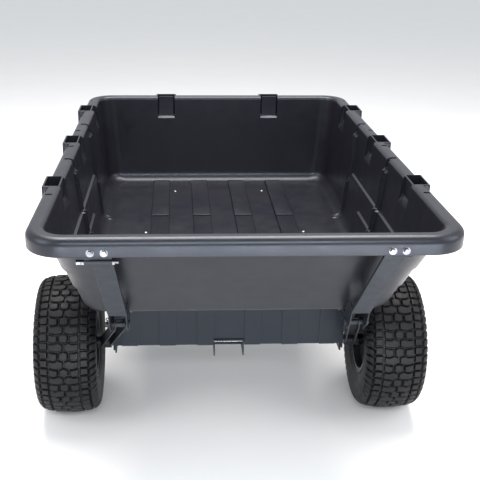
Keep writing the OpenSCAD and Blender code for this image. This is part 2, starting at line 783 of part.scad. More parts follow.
// ---------- Front post and latch ----------
module front_post() {
    half = bar_w / 2 + post_t;
    lug_w = 4;
    color(grey_steel) cart() difference() {
        union() {
            both_sides() translate([half - post_t, post_y0, bar_bolt_z - 16])
                cube([post_t, post_y1 - post_y0, post_top - bar_bolt_z + 16]);
            translate([-half, post_y1 - post_t, bar_top + 0.5])
                cube([2 * half, post_t, post_top - bar_top - 0.5]);
            translate([-half, post_y0, post_top - post_t]) cube([2 * half, post_y1 - post_y0, post_t]);
            both_sides() translate([latch_t / 2 + 0.5, 0, 0]) rotate([90, 0, 90]) linear_extrude(lug_w)
                polygon(concat([[post_y1 - 1, latch_at[1] + 16], [post_y1 - 1, latch_at[1] - 30]],
                    arc(latch_at, 16, -60, 90, 10)));
        }
        for (y = post_bolt_y)
            translate([-bar_w, y, bar_bolt_z]) rotate([0, 90, 0])
                cylinder(r = bolt_r + 0.3, h = 2 * bar_w, $fn = 24);
        translate([-30, latch_at[0], latch_at[1]]) rotate([0, 90, 0])
            cylinder(r = latch_pin_r + run_gap, h = 60, $fn = 40);
    }
}
module post_pad() {
    color(rubber) cart() translate([-45, post_y0 + 6, post_top])
        cube([90, post_y1 - post_y0 - 12, frame_z - post_top - 0.3]);
}
module post_bolts() {
    color(zinc) cart() for (y = post_bolt_y)
        translate([-bar_w / 2 - post_t, y, bar_bolt_z]) rotate([0, 90, 0])
            hex_bolt(bolt_r, bar_w + 2 * post_t + 12);
}
module post_nuts() {
    color(zinc) cart() for (y = post_bolt_y)
        translate([bar_w / 2 + post_t, y, bar_bolt_z]) rotate([0, 90, 0]) hex_nut(bolt_r);
}

// Places a latch piece drawn shut, in side view about its pivot, in the open position
module latch_place(x) {
    cart() translate([x, latch_at[0], latch_at[1]])
        rotate([-latch_open, 0, 0]) rotate([90, 0, 90]) children();
}
module latch_lever() {
    catch_out = catch_r + catch_t;
    tip = lever_len * [cos(lever_rise), sin(lever_rise)];
    side = lever_half * [sin(lever_rise), -cos(lever_rise)];
    grip_end = tip * (1 - 62 / lever_len);
    color(grey_steel) latch_place(-latch_t / 2) linear_extrude(latch_t) difference() {
        polygon(concat(
            arc([0, 0], catch_out, 62, catch_tip, 12),
            arc([0, 0], catch_r, catch_tip, 84, 10),
            arc([0, 0], 15, 110, 290, 12),
            [grip_end + side, tip + side, tip - side, grip_end - side],
            [[42, 30], [38, 52]]));
        circle(r = latch_pin_r + run_gap, $fn = 40);
    }
}
module latch_grip() {
    color(rubber) latch_place(0)
        rotate([0, 0, lever_rise]) translate([lever_len + 52, 0, 0]) rotate([0, -90, 0])
        difference() {
            cylinder(r = 15, h = 110, $fn = 48);
            translate([-latch_t / 2, -lever_half, 52 - e]) cube([latch_t, 2 * lever_half, 60]);
        }
}
module latch_bolt() {
    color(zinc) cart() translate([-latch_t / 2 - 4.5, latch_at[0], latch_at[1]]) rotate([0, 90, 0])
        hex_bolt(5, latch_t + 9 + 10, 6);
}
module latch_nut() {
    color(zinc) cart() translate([latch_t / 2 + 4.5, latch_at[0], latch_at[1]])
        rotate([0, 90, 0]) hex_nut(5, 8);
}

// ---------- Hitch ----------
// A flat bar bent into a U on its side, open at the front, with round arm ends
module hitch_clevis() {
    z0 = clevis_top - 2 * clevis_t - hitch_gap;
    h = clevis_top - z0;
    color(dark_steel) cart() difference() {
        translate([0, clevis_rear, z0]) rotate([0, 0, 90]) linear_extrude(h)
            polygon(concat([[0, clevis_w / 2], [0, -clevis_w / 2]],
                arc([hitch_y - clevis_rear, 0], clevis_w / 2 - 5, -65, 65, 16)));
        translate([-clevis_w, clevis_rear + clevis_t, z0 + clevis_t])
            cube([2 * clevis_w, hitch_front, hitch_gap]);
        translate([0, hitch_y, z0 - 1]) cylinder(r = hitch_r, h = h + 2, $fn = 48);
        for (y = hitch_bolt_y)
            translate([0, y, clevis_top - clevis_t - 1]) cylinder(r = 5.3, h = clevis_t + 2, $fn = 24);
    }
}
module hitch_bolts() {
    color(zinc) cart() for (y = hitch_bolt_y)
        translate([0, y, bar_top]) rotate([180, 0, 0]) hex_bolt(5, bar_t + clevis_t + 12, 6);
}
module hitch_nuts() {
    color(zinc) cart() for (y = hitch_bolt_y)
        translate([0, y, clevis_top - clevis_t]) rotate([180, 0, 0]) hex_nut(5, 8);
}

// ---------- Wheels ----------
module on_axle(x) {
    cart() translate([x, 0, axle_z]) rotate([0, 90, 0]) children();
}
module axle_ring(r_out, r_in, h) {
    difference() {
        cylinder(r = r_out, h = h, $fn = 64);
        translate([0, 0, -1]) cylinder(r = r_in, h = h + 2, $fn = 64);
    }
}
module axle_nuts() {
    h = 14;
    color(zinc) for (x = [boss_x1, -boss_x1 - h]) on_axle(x) difference() {
        cylinder(r = 21, h = h, $fn = 6);
        translate([0, 0, -1]) cylinder(r = axle_r, h = h + 2, $fn = 64);
    }
}
module axle_spacers() {
    x0 = boss_x1 + 14;
    x1 = wheel_x - hub_l / 2 - 0.5;
    color(zinc) for (x = [x0, -x1]) on_axle(x) axle_ring(17, axle_r, x1 - x0);
}
module axle_washers() {
    x0 = wheel_x + hub_l / 2 + 0.5;
    t = 3;
    color(zinc) for (x = [x0, -x0 - t]) on_axle(x) axle_ring(20, axle_r, t);
}
module axle_cotters() {
    color(zinc) cart() both_sides() translate([wheel_x + hub_l / 2 + 10, 0, axle_z]) cotter(1.6, 30);
}

// Half of the tyre's section as [distance from the mid-plane, radius], bead to crown
function tyre_section() =
    let (w = tyre_w / 2, bead = rim_half - 7)
    concat(
        [[bead - 12, rim_seat_r + 0.3], [bead, rim_seat_r + 0.3], [bead, rim_flange_r + 2]],
        [[rim_half + 4, rim_flange_r + 8], [w - 3, 150], [w, 172], [w - 1.5, 192], [w - 6, 206],
         [w - 14, 216], [w - 26, 222.5], [w - 50, 227.5], [w - 76, 229.6]],
        [[0, tyre_r]]);
function tyre_bore() =
    let (w = tyre_w / 2)
    [[0, tyre_r - 18], [w - 50, tyre_r - 20], [w - 26, tyre_r - 30], [w - 14, 185], [w - 12, 165],
     [w - 16, 145], [rim_half - 18, rim_flange_r + 14], [rim_half - 24, rim_seat_r + 0.3]];
function mirrored(p) = [for (i = [len(p) - 1:-1:0]) [-p[i][0], p[i][1]]];
module tyre(side) {
    section = tyre_section();
    bore = tyre_bore();
    color(rubber) on_axle(side * wheel_x) rotate_extrude($fn = 96)
        polygon([for (p = concat(
            section,
            mirrored([for (i = [0:len(section) - 2]) section[i]]),
            mirrored([for (i = [1:len(bore) - 1]) bore[i]]),
            [for (i = [0:len(bore) - 1]) bore[i]]))
            [p[1], p[0]]]);
}
// Drop-centre rim with a dished disc welded to the hub
module wheel_rim(side) {
    t = 3;
    seat = rim_seat_r;
    path = [[rim_half, rim_flange_r], [rim_half - 5, rim_flange_r], [rim_half - 6.3, seat],
        [rim_half - 30, seat - 2], [rim_half - 42, seat - 20], [-rim_half + 42, seat - 20],
        [-rim_half + 30, seat - 2], [-rim_half + 6.3, seat], [-rim_half + 5, rim_flange_r],
        [-rim_half, rim_flange_r]];
    disc = [[22, seat - 20 - t], [26, seat - 32], [12, seat - 46], [6, 44], [6, hub_r]];
    color(dark_steel) on_axle(side * wheel_x) mirror([0, 0, side < 0 ? 1 : 0]) difference() {
        rotate_extrude($fn = 96) {
            polygon([for (p = band(path, t)) [p[1], p[0]]]);
            polygon([for (p = band(disc, 3.5)) [p[1], p[0]]]);
        }
        translate([valve_r, 0, rim_half - 46]) cylinder(r = 5.2, h = 26, $fn = 32);
    }
}
module wheel_hub(side) {
    color(dark_steel) on_axle(side * wheel_x) translate([0, 0, -hub_l / 2]) difference() {
        cylinder(r = hub_r, h = hub_l, $fn = 64);
        translate([0, 0, -1]) cylinder(r = 21, h = hub_l + 2, $fn = 64);
        for (z = [-1, hub_l - bearing_w])
            translate([0, 0, z]) cylinder(r = bearing_r, h = bearing_w + 1, $fn = 64);
    }
}
module wheel_bearings(side) {
    color(zinc) on_axle(side * wheel_x) for (z = [-hub_l / 2, hub_l / 2 - bearing_w])
        translate([0, 0, z]) axle_ring(bearing_r, axle_r + run_gap, bearing_w);
}
module hub_cap(side) {
    h = 36;
    color(black_poly) on_axle(side * (wheel_x + hub_l / 2)) mirror([0, 0, side < 0 ? 1 : 0])
        rotate_extrude($fn = 64) polygon(concat(
            [[hub_r, 0.3], [hub_r, 5], [hub_r - 1.2, 5]],
            arc([hub_r - 7.2, h - 6], 6, 0, 90, 6),
            [[0, h], [0, h - 2], [hub_r - 8, h - 2], [hub_r - 3.4, h - 7], [hub_r - 3.4, 0.3]]));
}
module valve(side) {
    color(rubber) on_axle(side * wheel_x) mirror([0, 0, side < 0 ? 1 : 0])
        translate([valve_r, 0, rim_half - 48]) rotate_extrude($fn = 32)
            polygon([[0, 0], [6, 0], [6, 3], [5, 5], [5, 18], [3.8, 20], [3.8, 40], [0, 40]]);
}
module left_tyre() { tyre(-1); }
module left_rim() { wheel_rim(-1); }
module left_hub() { wheel_hub(-1); }
module left_bearings() { wheel_bearings(-1); }
module left_hub_cap() { hub_cap(-1); }
module left_valve() { valve(-1); }
module right_tyre() { tyre(1); }
module right_rim() { wheel_rim(1); }
module right_hub() { wheel_hub(1); }
module right_bearings() { wheel_bearings(1); }
module right_hub_cap() { hub_cap(1); }
module right_valve() { valve(1); }

tub_shell();
left_strap();
right_strap();
strap_bolts();
strap_nuts();
rim_bracket_tube();
rim_bracket_bolt();
rim_bracket_nuts();
left_rail();
right_rail();
rear_cross_channel();
mid_cross_channel();
front_cross_channel();
floor_bolts();
floor_nuts();
rail_bolts();
rail_nuts();
strike_bar();
left_pivot_pin();
right_pivot_pin();
pivot_clips();
pivot_washers();
left_leg();
right_leg();
cross_panel();
rest_pads();
axle();
drawbar();
left_brace();
right_brace();
brace_bolts();
brace_nuts();
front_post();
post_pad();
post_bolts();
post_nuts();
hitch_clevis();
hitch_bolts();
hitch_nuts();
latch_lever();
latch_grip();
latch_bolt();
latch_nut();
axle_nuts();
axle_spacers();
axle_washers();
axle_cotters();
left_tyre();
left_rim();
left_hub();
left_bearings();
left_hub_cap();
left_valve();
right_tyre();
right_rim();
right_hub();
right_bearings();
right_hub_cap();
right_valve();
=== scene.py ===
import json
import math

import bmesh
import bpy
import numpy as np
from mathutils import Matrix, Vector


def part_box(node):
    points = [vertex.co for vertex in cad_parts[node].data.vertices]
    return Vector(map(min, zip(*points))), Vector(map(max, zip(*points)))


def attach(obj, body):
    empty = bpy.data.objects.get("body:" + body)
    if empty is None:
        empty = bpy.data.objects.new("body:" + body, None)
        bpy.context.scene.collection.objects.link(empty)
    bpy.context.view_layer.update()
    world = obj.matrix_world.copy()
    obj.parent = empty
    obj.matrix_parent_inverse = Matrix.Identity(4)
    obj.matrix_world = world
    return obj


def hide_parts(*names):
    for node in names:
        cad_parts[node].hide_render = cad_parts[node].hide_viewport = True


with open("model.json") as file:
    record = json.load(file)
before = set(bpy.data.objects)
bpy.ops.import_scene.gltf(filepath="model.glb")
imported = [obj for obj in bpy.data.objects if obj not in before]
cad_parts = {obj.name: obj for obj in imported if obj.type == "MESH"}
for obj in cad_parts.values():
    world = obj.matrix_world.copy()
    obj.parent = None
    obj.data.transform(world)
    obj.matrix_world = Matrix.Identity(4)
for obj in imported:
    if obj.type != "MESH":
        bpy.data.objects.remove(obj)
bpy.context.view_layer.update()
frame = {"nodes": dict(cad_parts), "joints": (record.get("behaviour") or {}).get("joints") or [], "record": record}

# ---------- Places and sizes, in metres ----------
JOINTS = {j["name"]: j for j in frame["joints"]}
AXLE = Vector(JOINTS["left_wheel_spin"]["pos_m"])
AXLE_Y = AXLE.y
TUB_LOW, TUB_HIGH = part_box("tub_shell")
RIM_Z = TUB_HIGH.z
UNDER_Z = TUB_LOW.z
REAR_Y = TUB_LOW.y
WALL = 0.005
FLOOR_T = WALL + 0.001
FLOOR_Z = UNDER_Z + FLOOR_T
ABOVE = RIM_Z + 0.02
BELOW = UNDER_Z - 0.01

# The rim, as half widths at its two ends. The stake pockets stand proud of its sides and front
RIM_REAR = TUB_HIGH.x - 0.003
RIM_FRONT = RIM_REAR - 0.024
FRONT_Y = TUB_HIGH.y - 0.012
RIM_W = 0.045
SKIRT_Z = RIM_Z - 0.048
LIP_R = 0.020
INNER_LIP_R = 0.012
UNDER_RIM_Z = RIM_Z - WALL - 0.003
UNDER_RIM_STEP = 0.004

# The floor, and the walls that slope from its fillet to the rim
FLOOR_HALF = 0.455
FLOOR_REAR = AXLE_Y - 0.352
FLOOR_FRONT = FRONT_Y - RIM_W - 0.005
FILLET = 0.040
WALL_H = RIM_Z - FLOOR_Z
REAR_SLOPE = math.atan((FLOOR_REAR - REAR_Y - RIM_W) / WALL_H)
FRONT_SLOPE = math.atan(0.005 / WALL_H)
SIDE_SLOPES = tuple(math.atan((half - RIM_W - FLOOR_HALF) / WALL_H)
                    for half in (RIM_REAR, RIM_FRONT))

# Radii of the corners, seen from above
RIM_CORNERS = (0.100, 0.092)
INSIDE_CORNER, UNDER_RIM_CORNER, OUTSIDE_CORNER = 0.058, 0.068, 0.064

# Wheel-well steps in the side walls, each (height of its top, how far forward of the axle it ends)
WELL_STEPS = ((0.705, 0.430), (0.628, 0.235))
WELL_DEPTH, WELL_BEND, WELL_EDGE = 0.008, 0.055, 0.004

# Dividers, forward of the axle: two ridges with a slit between them, and a box behind the slit
DIVIDERS = (-0.006, 0.443)
RIDGE_OFF, RIDGE_HALF, RIDGE_DEPTH, RIDGE_EDGE = 0.0145, 0.0065, 0.008, 0.004
RIDGE_TOP, RIDGE_FADE = RIM_Z - 0.036, 0.008
SLIT_HALF, SLIT_IN, SLIT_OUT, SLIT_D = 0.007, 0.020, 0.026, 0.032
BACK_HALF, BACK_IN, BACK_OUT, BACK_D, BACK_TOP = 0.013, 0.001, 0.032, 0.040, 0.003

# Stake pockets, forward of the axle at the sides and either side of the middle in front. The
# roots are how far outside the wall's inside face a pocket's walls start: at foot, top and lip
POCKETS = (-0.235, 0.235, 0.705)
POCKET_L, POCKET_W, POCKET_D, POCKET_T = 0.091, 0.040, 0.086, 0.006
POCKET_IN = 0.043
POCKET_TAPER = (RIM_REAR - RIM_FRONT) / (FRONT_Y - REAR_Y) / 2
POCKET_FLOOR = RIM_Z - POCKET_D
POCKET_EDGE, SHELL_EDGE = 0.002, 0.003
SHELL_LOW = RIM_Z - POCKET_D - POCKET_T
SHELL_LIP = RIM_Z - INNER_LIP_R - 0.001
SIDE_ROOTS = (0.002, 0.0145, 0.003)
FRONT_ROOTS = (0.006, 0.0195, 0.008)
FRONT_POCKET_X, FRONT_POCKET_L = 0.212, 0.070
FRONT_POCKET_Y = FRONT_Y - 0.034
DRAIN_R, DRAIN_SIDES = 0.006, 24

# Recesses inside the pockets leave a strip of wall. Each has a (foot, slope of the foot)
STRIP = 0.004
RECESS_REACH, RECESS_END, RECESS_EDGE = 0.060, 0.003, 0.0015
SIDE_RECESS = (RIM_Z - 0.058, 1.6)
FRONT_RECESS = (RIM_Z - 0.080, 1.0)
GROOVE_W, GROOVE_PAST = 0.006, 0.004

# Small slots in the rim, as (half way across, forward of the axle)
SLOTS = ((0.524, -0.356), (0.517, 0.144), (0.517, 0.352), (0.516, 0.846))
SLOT_L, SLOT_R, SLOT_D = 0.010, 0.006, 0.020

# Floor ribs, each with a shallow groove round it, a hollow under it and a notch behind it
RIB_PITCH, RIB_W, RIB_H = 0.1555, 0.064, 0.008
RIB_X = tuple(RIB_PITCH * i for i in (-1.5, -0.5, 0.5, 1.5))
RIB_REAR, RIB_FRONT = FLOOR_REAR + 0.012, FLOOR_FRONT - 0.022
RIB_GAP, RIB_ROOT, RIB_EDGE = 0.006, 0.0030, 0.0012
RIB_GROOVE_SIDE, RIB_GROOVE_FRONT, RIB_GROOVE_D = 0.0035, 0.001, 0.0020
HOLLOW_D, HOLLOW_EDGE = 0.005, 0.0015
NOTCH_REAR, NOTCH_D, NOTCH_EDGE = 0.060, 0.0025, 0.0008


def smooth(t):
    """0 below 0, 1 above 1, and a smooth step between."""
    t = np.clip(t, 0, 1)
    return t * t * (3 - 2 * t)


def new_object(name, mesh):
    obj = bpy.data.objects.new(name, mesh)
    bpy.context.scene.collection.objects.link(obj)
    return obj


def grid_mesh(name, rows, closed_rows):
    """Quads through rows of points. Each row is a ring; closed_rows joins the last to the first."""
    m, n = rows.shape[:2]
    a = np.arange(m * n).reshape(m, n)
    nxt = np.roll(a, -1, 1)
    if closed_rows:
        up, up_nxt = np.roll(a, -1, 0), np.roll(nxt, -1, 0)
    else:
        a, nxt, up, up_nxt = a[:-1], nxt[:-1], a[1:], nxt[1:]
    faces = np.stack([a, nxt, up_nxt, up], -1).reshape(-1, 4)
    mesh = bpy.data.meshes.new(name)
    mesh.from_pydata(rows.reshape(-1, 3).tolist(), [], faces.tolist())
    return mesh


def shade(obj, degrees):
    """Smooth shading, with edges sharper than this many degrees kept sharp."""
    obj.data.polygons.foreach_set("use_smooth", [True] * len(obj.data.polygons))
    obj.data.set_sharp_from_angle(angle=math.radians(degrees))


# ---------- Tub ----------
# The middle of each side is sampled at the same places in every ring, clear of all the corners
SAMPLE, OUTSIDE_SAMPLE = 0.0035, 0.005
FIXED_Y = AXLE_Y + np.arange(-0.250, 0.7901, SAMPLE)
STRETCH_N, FRONT_N, CORNER_N, TAIL_N = 70, 150, 12, 16
TUB_SHARP = 32


def ring(half, y, radius, z, push=0.0):
    """A closed outline at height z, right side first. half, y and radius are (rear, front) pairs."""
    y_low, y_high = y[0] + radius[0], y[1] - radius[1]
    ys = np.concatenate([
        np.linspace(y_low, FIXED_Y[0], STRETCH_N, endpoint=False),
        FIXED_Y,
        np.linspace(FIXED_Y[-1], y_high, TAIL_N)[1:]])
    straight = half[0] + (half[1] - half[0]) * (ys - y_low) / (y_high - y_low)
    xs = straight - push * wall_push(ys, z)
    front_a = np.radians(np.linspace(0, 90, CORNER_N + 1)[1:])
    front = np.stack([half[1] - radius[1] + radius[1] * np.cos(front_a),
                      y_high + radius[1] * np.sin(front_a)], 1)
    rear_a = np.radians(np.linspace(-90, 0, CORNER_N + 1)[:-1])
    fade = push * wall_push(np.array([y_low]), z)[0] * np.cos(rear_a) ** 2
    rear = np.stack([half[0] - radius[0] + radius[0] * np.cos(rear_a) - fade,
                     y_low + radius[0] * np.sin(rear_a)], 1)
    right = np.concatenate([rear, np.stack([xs, ys], 1), front])
    across = np.linspace(right[-1, 0], -right[-1, 0], FRONT_N + 2)[1:-1]
    back = np.linspace(-right[0, 0], right[0, 0], FRONT_N + 2)[1:-1]
    outline = np.concatenate([
        right,
        np.stack([across, np.full(FRONT_N, right[-1, 1])], 1),
        (right * [-1, 1])[::-1],
        np.stack([back, np.full(FRONT_N, right[0, 1])], 1)])
    return np.column_stack([outline, np.full(len(outline), z)])


def wall_push(y, z):
    """How far the side wall stands inwards: two wheel-well steps, and pairs of divider ridges."""
    y = y - AXLE_Y
    push = np.zeros_like(y)
    for top, front in WELL_STEPS:
        over = np.hypot(np.maximum(y - front + WELL_BEND, 0),
                        np.maximum(z - top + WELL_BEND, 0)) - WELL_BEND
        push += WELL_DEPTH * smooth(-over / WELL_EDGE)
    for centre in DIVIDERS:
        for side in (-1, 1):
            off = np.abs(y - centre - side * RIDGE_OFF)
            push += (RIDGE_DEPTH * smooth((RIDGE_HALF - off) / RIDGE_EDGE)
                     * smooth((RIDGE_TOP - z) / RIDGE_FADE))
    return push


def fillet_inset(h, radius, slope):
    """How far a filleted wall stands inside its foot at height h."""
    if h < radius * (1 - math.sin(slope)):
        across = math.sqrt(max(0, radius ** 2 - (radius - h) ** 2))
        return radius * math.tan((math.pi / 2 - slope) / 2) - across
    return -h * math.tan(slope)


def wall_ring(z, grow, drop, corner):
    """The tub's wall at height z: grow moves it outwards and drop moves its foot down."""
    h = z - FLOOR_Z + drop
    r = FILLET + grow

    def inset(slope):
        return fillet_inset(h, r, slope) - grow / math.cos(slope) + drop * math.tan(slope)

    half = tuple(FLOOR_HALF - inset(s) for s in SIDE_SLOPES)
    ends = (FLOOR_REAR + inset(REAR_SLOPE), FLOOR_FRONT - inset(FRONT_SLOPE))
    return ring(half, ends, (corner, corner), z, push=1.0)


def rim_ring(inset, z):
    """The rim's outline at height z, moved inwards."""
    return ring((RIM_REAR - inset, RIM_FRONT - inset), (REAR_Y + inset, FRONT_Y - inset),
                tuple(r - inset for r in RIM_CORNERS), z)


def quarter(n):
    return [math.radians(90 * i / n) for i in range(n + 1)]


def tub_rings():
    """Every ring of the tub's skin: from the inside floor up, over the rim and down outside."""
    # The inside: the fillet to just short of its end, the wall and the lip
    rings = [wall_ring(FLOOR_Z + FILLET * (1 - math.cos(a)) * 0.999, 0, 0, INSIDE_CORNER)
             for a in quarter(10)]
    wall_top = RIM_Z - INNER_LIP_R
    steps = int((wall_top - FLOOR_Z - FILLET) / SAMPLE)
    rings += [wall_ring(z, 0, 0, INSIDE_CORNER)
              for z in np.linspace(FLOOR_Z + FILLET, wall_top, steps + 1)[1:]]
    for a in quarter(6)[1:]:
        out = INNER_LIP_R * (1 - math.cos(a))
        rings.append(wall_ring(wall_top + INNER_LIP_R * math.sin(a), out, 0, INSIDE_CORNER + out))
    # The rim: its rolled edge, the skirt, and a half turn round the skirt's foot
    for a in reversed(quarter(8)):
        rings.append(rim_ring(LIP_R * (1 - math.cos(a)), RIM_Z - LIP_R + LIP_R * math.sin(a)))
    rings.append(rim_ring(0, (RIM_Z + SKIRT_Z) / 2))
    edge = WALL / 2
    for a in (math.radians(15 * i) for i in range(13)):
        rings.append(rim_ring(edge - edge * math.cos(a), SKIRT_Z + edge - edge * math.sin(a)))
    # Up under the rim, then down the outside to the underside
    top, low = UNDER_RIM_Z - UNDER_RIM_STEP, UNDER_Z + FILLET + WALL
    rings.append(rim_ring(WALL, top))
    rings.append(rim_ring(WALL + UNDER_RIM_STEP, UNDER_RIM_Z))
    rings.append(wall_ring(UNDER_RIM_Z, WALL + UNDER_RIM_STEP, FLOOR_T, UNDER_RIM_CORNER))
    rings += [wall_ring(z, WALL, FLOOR_T, OUTSIDE_CORNER)
              for z in np.linspace(top, low, int((top - low) / OUTSIDE_SAMPLE))]
    rings += [wall_ring(UNDER_Z + (FILLET + WALL) * (1 - math.cos(a)), WALL, FLOOR_T,
                        OUTSIDE_CORNER)
              for a in reversed(quarter(10)[:-1])]
    return np.array(rings)


def tub_skin():
    """The rings as one closed shell, with a face over each end."""
    rings = tub_rings()
    count = rings.shape[1]
    mesh = grid_mesh("tub", rings, closed_rows=False)
    bm = bmesh.new()
    bm.from_mesh(mesh)
    bm.verts.ensure_lookup_table()
    for first in (0, len(bm.verts) - count):
        bm.faces.new([bm.verts[i] for i in range(first, first + count)])
    bmesh.ops.recalc_face_normals(bm, faces=bm.faces)
    bm.to_mesh(mesh)
    bm.free()
    return new_object("tub", mesh)


def prism(outline, direction, depth, bevel):
    """A closed solid: a flat outline pushed along direction by depth, its edges rounded by bevel."""
    bm = bmesh.new()
    base = bm.faces.new([bm.verts.new(p) for p in outline])
    out = bmesh.ops.extrude_face_region(bm, geom=[base])
    moved = [v for v in out["geom"] if isinstance(v, bmesh.types.BMVert)]
    bmesh.ops.translate(bm, verts=moved, vec=Vector(direction) * depth)
    bmesh.ops.recalc_face_normals(bm, faces=bm.faces)
    if bevel:
        bmesh.ops.bevel(bm, geom=list(bm.edges), offset=bevel, segments=3, profile=0.5,
                        affect="EDGES")
    mesh = bpy.data.meshes.new("prism")
    bm.to_mesh(mesh)
    bm.free()
    return new_object("prism", mesh)


def extruded(axis, outline, start, length, bevel):
    """A prism along axis x or y, from points given as (place on the other axis, height)."""
    if axis == "y":
        return prism([(a, start, z) for a, z in outline], (0, 1, 0), length, bevel)
    return prism([(start, a, z) for a, z in outline], (1, 0, 0), length, bevel)


def box_solid(low, high, bevel=0.0):
    (x0, y0, z0), (x1, y1, z1) = low, high
    base = [(x0, y0, z0), (x1, y0, z0), (x1, y1, z0), (x0, y1, z0)]
    return prism(base, (0, 0, 1), z1 - z0, bevel)


def drain_solid(centre):
    """A round hole through a pocket's floor."""
    low, high = POCKET_FLOOR - 0.010, POCKET_FLOOR + 0.002
    around = [2 * math.pi * i / DRAIN_SIDES for i in range(DRAIN_SIDES)]
    outline = [(centre[0] + DRAIN_R * math.cos(a), centre[1] + DRAIN_R * math.sin(a), low)
               for a in around]
    return prism(outline, (0, 0, 1), high - low, 0)


def slot_solid(centre):
    """A long hole with round ends down through the rim."""
    low = RIM_Z - SLOT_D
    outline = []
    for side, start in ((1, -90), (-1, 90)):
        for i in range(9):
            a = math.radians(start + 22.5 * i)
            outline.append((centre[0] + side * SLOT_L / 2 + SLOT_R * math.cos(a),
                            centre[1] + SLOT_R * math.sin(a), low))
    return prism(outline, (0, 0, 1), ABOVE - low, 0)


def mirrored(obj):
    """A mirror image of obj across the cart's middle."""
    twin = new_object(obj.name, obj.data.copy())
    bm = bmesh.new()
    bm.from_mesh(twin.data)
    bmesh.ops.scale(bm, vec=(-1, 1, 1), verts=bm.verts)
    bmesh.ops.reverse_faces(bm, faces=bm.faces)
    bm.to_mesh(twin.data)
    bm.free()
    return twin


def joined(objects):
    """One mesh object from several solids that don't meet."""
    bm = bmesh.new()
    for obj in objects:
        bm.from_mesh(obj.data)
        bpy.data.objects.remove(obj)
    mesh = bpy.data.meshes.new("joined")
    bm.to_mesh(mesh)
    bm.free()
    return new_object("joined", mesh)


def boolean(obj, other, operation):
    """Cut other from obj, or add it, and delete other."""
    modifier = obj.modifiers.new("boolean", "BOOLEAN")
    modifier.operation = operation
    modifier.solver = "EXACT"
    modifier.object = other
    bpy.context.view_layer.update()
    graph = bpy.context.evaluated_depsgraph_get()
    done = bpy.data.meshes.new_from_object(obj.evaluated_get(graph))
    obj.modifiers.clear()
    obj.data = done
    bpy.data.objects.remove(other)


def side_x(z, y):
    """Half width of the inside wall at height z and distance y forward of the axle."""
    share = (AXLE_Y + y - REAR_Y) / (FRONT_Y - REAR_Y)
    slope = math.tan(SIDE_SLOPES[0]) * (1 - share) + math.tan(SIDE_SLOPES[1]) * share
    return FLOOR_HALF + (z - FLOOR_Z) * slope


def pocket_x(y):
    """The inside face of a side pocket that is y forward of the axle."""
    return RIM_REAR - POCKET_IN - (y - POCKETS[0]) * POCKET_TAPER


def recess(axis, side, start, width, foot, slope):
    """A cut from the tub's inside back to side, whose foot slopes inwards and down."""
    inner = side - RECESS_REACH
    outline = [(side, foot), (inner, foot - RECESS_REACH * slope), (inner, ABOVE), (side, ABOVE)]
    return extruded(axis, outline, start, width, RECESS_EDGE)


def pocket_shell(axis, wall, outer, start, length):
    """The outside of a pocket, rooted in the tub's wall at foot, top and lip."""
    foot, top, lip = wall
    outline = [(foot, SHELL_LOW), (outer, SHELL_LOW), (outer, RIM_Z), (top, RIM_Z),
               (lip, SHELL_LIP)]
    return extruded(axis, outline, start, length, SHELL_EDGE)


def pocket_shells():
    """The outside walls of the stake pockets, and the boxes behind the divider slits."""
    solids = []
    for y in POCKETS:
        wall = [side_x(z, y) + root for z, root in zip((SHELL_LOW, RIM_Z, SHELL_LIP), SIDE_ROOTS)]
        solid = pocket_shell("y", wall, pocket_x(y) + POCKET_W + POCKET_T,
                             AXLE_Y + y - POCKET_L / 2 - POCKET_T, POCKET_L + 2 * POCKET_T)
        solids += [solid, mirrored(solid)]
    half = FRONT_POCKET_L / 2 + POCKET_T
    wall = [FLOOR_FRONT + root for root in FRONT_ROOTS]
    solid = pocket_shell("x", wall, FRONT_POCKET_Y + POCKET_W + POCKET_T,
                         FRONT_POCKET_X - half, 2 * half)
    solids += [solid, mirrored(solid)]
    for y in DIVIDERS:
        x, mid = side_x(RIM_Z, y), AXLE_Y + y
        solid = box_solid((x + BACK_IN, mid - BACK_HALF, RIM_Z - BACK_D),
                          (x + BACK_OUT, mid + BACK_HALF, RIM_Z - BACK_TOP))
        solids += [solid, mirrored(solid)]
    return joined(solids)


